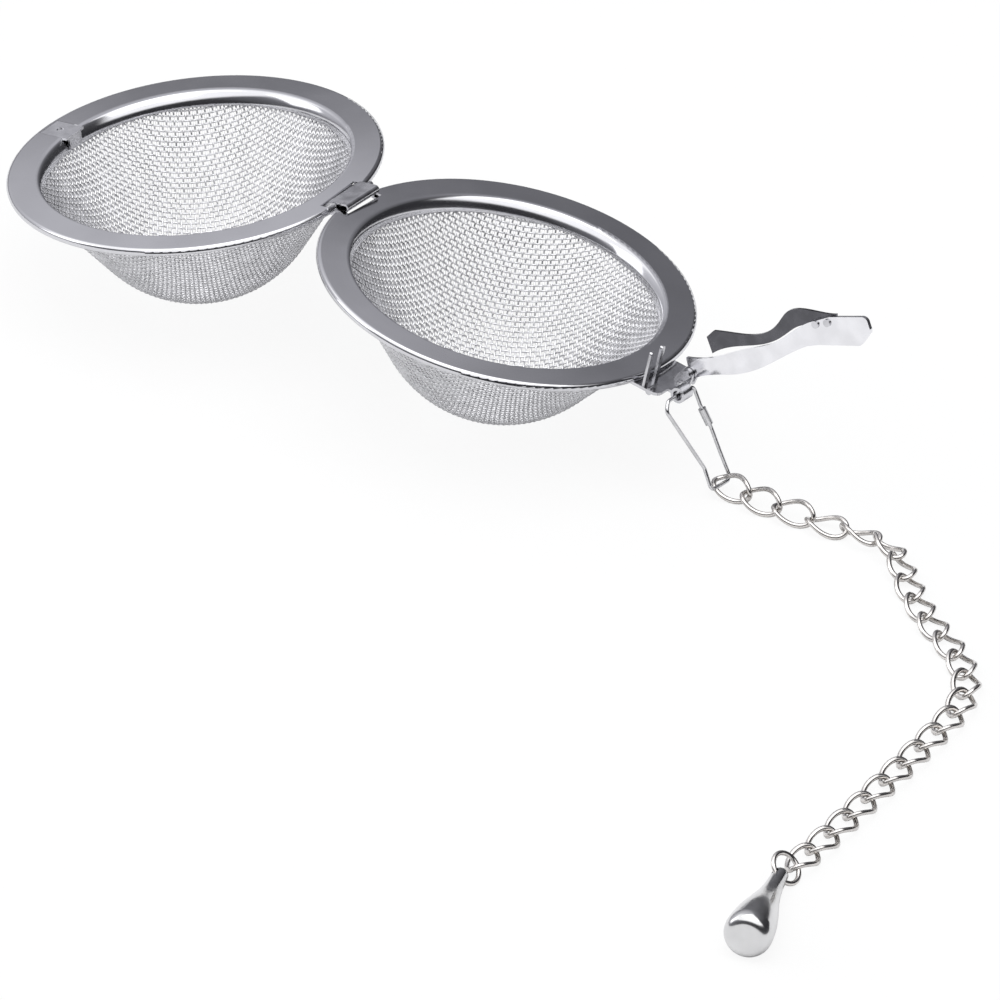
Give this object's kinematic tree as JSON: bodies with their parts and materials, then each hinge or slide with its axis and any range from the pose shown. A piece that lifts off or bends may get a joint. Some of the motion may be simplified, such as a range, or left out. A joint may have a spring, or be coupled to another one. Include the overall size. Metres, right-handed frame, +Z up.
{
  "type": "tea infuser",
  "caption": "Hinged mesh ball for loose tea, standing open, with a spring latch, a snap hook and a fine chain that ends in a turned drop",
  "frame": {"origin": "on the table under the middle of the box round the open ball and its latch, without the hook, chain and drop", "axes": "+X from the hinge to the latch, +Y along the hinge bar, +Z up"},
  "size_m": [0.1924, 0.1263, 0.0351],
  "materials": {
    "rim_steel": "polished stainless steel sheet, lightly brushed round the flange",
    "mesh_steel": "plain-woven bright stainless steel wire",
    "strap_steel": "stamped stainless steel strip",
    "latch_steel": "stamped stainless steel",
    "lever_steel": "polished stainless steel strip",
    "catch_steel": "tempered spring steel, darker",
    "wire_steel": "drawn stainless steel wire",
    "chain_steel": "bright nickel-plated chain wire",
    "drop_steel": "polished turned steel"
  },
  "bodies": {
    "latch_half": {"lower_rim": "rim_steel", "lower_mesh_bowl": "mesh_steel", "latch_bracket": "latch_steel", "latch_pin": "latch_steel"},
    "plain_half": {"upper_rim": "rim_steel", "upper_mesh_bowl": "mesh_steel", "hinge_strap": "strap_steel", "keeper": "strap_steel"},
    "latch": {"latch_lever": "lever_steel", "latch_catch": "catch_steel", "latch_rivets": "latch_steel"},
    "hook": {"snap_hook": "wire_steel", "hook_sleeve": "wire_steel"},
    "link_01": {"chain_link_01": "chain_steel"},
    "link_02": {"chain_link_02": "chain_steel"},
    "link_03": {"chain_link_03": "chain_steel"},
    "link_04": {"chain_link_04": "chain_steel"},
    "link_05": {"chain_link_05": "chain_steel"},
    "link_06": {"chain_link_06": "chain_steel"},
    "link_07": {"chain_link_07": "chain_steel"},
    "link_08": {"chain_link_08": "chain_steel"},
    "link_09": {"chain_link_09": "chain_steel"},
    "link_10": {"chain_link_10": "chain_steel"},
    "link_11": {"chain_link_11": "chain_steel"},
    "link_12": {"chain_link_12": "chain_steel"},
    "link_13": {"chain_link_13": "chain_steel"},
    "link_14": {"chain_link_14": "chain_steel"},
    "link_15": {"chain_link_15": "chain_steel"},
    "link_16": {"chain_link_16": "chain_steel"},
    "link_17": {"chain_link_17": "chain_steel"},
    "link_18": {"chain_link_18": "chain_steel"},
    "link_19": {"chain_link_19": "chain_steel"},
    "link_20": {"chain_link_20": "chain_steel"},
    "link_21": {"chain_link_21": "chain_steel"},
    "link_22": {"chain_link_22": "chain_steel"},
    "link_23": {"chain_link_23": "chain_steel"},
    "ring": {"jump_ring": "chain_steel"},
    "drop": {"drop_weight": "drop_steel"}
  },
  "joints": [
    {"name": "ball_hinge", "type": "hinge", "parent": "latch_half", "child": "plain_half", "pos_m": [-0.01616, 0, 0.02478], "axis": [0, 1, 0], "range_deg": [0, 195.5]},
    {"name": "latch_pivot", "type": "hinge", "parent": "latch_half", "child": "latch", "pos_m": [0.04245, 0.0006, 0.01682], "axis": [0.0081, -0.9982, 0.0596], "range_deg": [0, 86]},
    {"name": "hook_swing", "type": "hinge", "parent": "latch_half", "child": "hook", "pos_m": [0.04324, -0.00239, 0.01522], "axis": [-0.0081, 0.9982, -0.0596], "range_deg": [-35, 35]},
    {"name": "link_01_swing", "type": "hinge", "parent": "hook", "child": "link_01", "pos_m": [0.04929, -0.00021, 0.00156], "axis": [0, 0, 1], "range_deg": [-8, 8]},
    {"name": "link_02_swing", "type": "hinge", "parent": "link_01", "child": "link_02", "pos_m": [0.05386, -0.00074, 0.00169], "axis": [0, 0, 1], "range_deg": [-8, 8]},
    {"name": "link_03_swing", "type": "hinge", "parent": "link_02", "child": "link_03", "pos_m": [0.05907, -0.00056, 0.00169], "axis": [0, 0, 1], "range_deg": [-8, 8]},
    {"name": "link_04_swing", "type": "hinge", "parent": "link_03", "child": "link_04", "pos_m": [0.06424, 0.00007, 0.00169], "axis": [0, 0, 1], "range_deg": [-8, 8]},
    {"name": "link_05_swing", "type": "hinge", "parent": "link_04", "child": "link_05", "pos_m": [0.06939, 0.00081, 0.00169], "axis": [0, 0, 1], "range_deg": [-8, 8]},
    {"name": "link_06_swing", "type": "hinge", "parent": "link_05", "child": "link_06", "pos_m": [0.07465, 0.0016, 0.00169], "axis": [0, 0, 1], "range_deg": [-8, 8]},
    {"name": "link_07_swing", "type": "hinge", "parent": "link_06", "child": "link_07", "pos_m": [0.07937, -0.00077, 0.00169], "axis": [0, 0, 1], "range_deg": [-8, 8]},
    {"name": "link_08_swing", "type": "hinge", "parent": "link_07", "child": "link_08", "pos_m": [0.08314, -0.0044, 0.00169], "axis": [0, 0, 1], "range_deg": [-8, 8]},
    {"name": "link_09_swing", "type": "hinge", "parent": "link_08", "child": "link_09", "pos_m": [0.08687, -0.00804, 0.00169], "axis": [0, 0, 1], "range_deg": [-8, 8]},
    {"name": "link_10_swing", "type": "hinge", "parent": "link_09", "child": "link_10", "pos_m": [0.09091, -0.01132, 0.00169], "axis": [0, 0, 1], "range_deg": [-8, 8]},
    {"name": "link_11_swing", "type": "hinge", "parent": "link_10", "child": "link_11", "pos_m": [0.09525, -0.01418, 0.00169], "axis": [0, 0, 1], "range_deg": [-8, 8]},
    {"name": "link_12_swing", "type": "hinge", "parent": "link_11", "child": "link_12", "pos_m": [0.09967, -0.01695, 0.00169], "axis": [0, 0, 1], "range_deg": [-8, 8]},
    {"name": "link_13_swing", "type": "hinge", "parent": "link_12", "child": "link_13", "pos_m": [0.10353, -0.02047, 0.00169], "axis": [0, 0, 1], "range_deg": [-8, 8]},
    {"name": "link_14_swing", "type": "hinge", "parent": "link_13", "child": "link_14", "pos_m": [0.10637, -0.02488, 0.00169], "axis": [0, 0, 1], "range_deg": [-8, 8]},
    {"name": "link_15_swing", "type": "hinge", "parent": "link_14", "child": "link_15", "pos_m": [0.10791, -0.02988, 0.00169], "axis": [0, 0, 1], "range_deg": [-8, 8]},
    {"name": "link_16_swing", "type": "hinge", "parent": "link_15", "child": "link_16", "pos_m": [0.10857, -0.03505, 0.00169], "axis": [0, 0, 1], "range_deg": [-8, 8]},
    {"name": "link_17_swing", "type": "hinge", "parent": "link_16", "child": "link_17", "pos_m": [0.10909, -0.04022, 0.00169], "axis": [0, 0, 1], "range_deg": [-8, 8]},
    {"name": "link_18_swing", "type": "hinge", "parent": "link_17", "child": "link_18", "pos_m": [0.10961, -0.0454, 0.00169], "axis": [0, 0, 1], "range_deg": [-8, 8]},
    {"name": "link_19_swing", "type": "hinge", "parent": "link_18", "child": "link_19", "pos_m": [0.1101, -0.05057, 0.00169], "axis": [0, 0, 1], "range_deg": [-8, 8]},
    {"name": "link_20_swing", "type": "hinge", "parent": "link_19", "child": "link_20", "pos_m": [0.1106, -0.05575, 0.00169], "axis": [0, 0, 1], "range_deg": [-8, 8]},
    {"name": "link_21_swing", "type": "hinge", "parent": "link_20", "child": "link_21", "pos_m": [0.11108, -0.06093, 0.00169], "axis": [0, 0, 1], "range_deg": [-8, 8]},
    {"name": "link_22_swing", "type": "hinge", "parent": "link_21", "child": "link_22", "pos_m": [0.11152, -0.06611, 0.00169], "axis": [0, 0, 1], "range_deg": [-8, 8]},
    {"name": "link_23_swing", "type": "hinge", "parent": "link_22", "child": "link_23", "pos_m": [0.11187, -0.0713, 0.00169], "axis": [0, 0, 1], "range_deg": [-8, 8]},
    {"name": "ring_swing", "type": "hinge", "parent": "link_23", "child": "ring", "pos_m": [0.11213, -0.07661, 0.00169], "axis": [0, 0, 1], "range_deg": [-8, 8]},
    {"name": "drop_swing", "type": "hinge", "parent": "ring", "child": "drop", "pos_m": [0.11221, -0.07834, 0.00193], "axis": [0.7063, 0.0348, 0.7071], "range_deg": [-12, 12]}
  ]
}
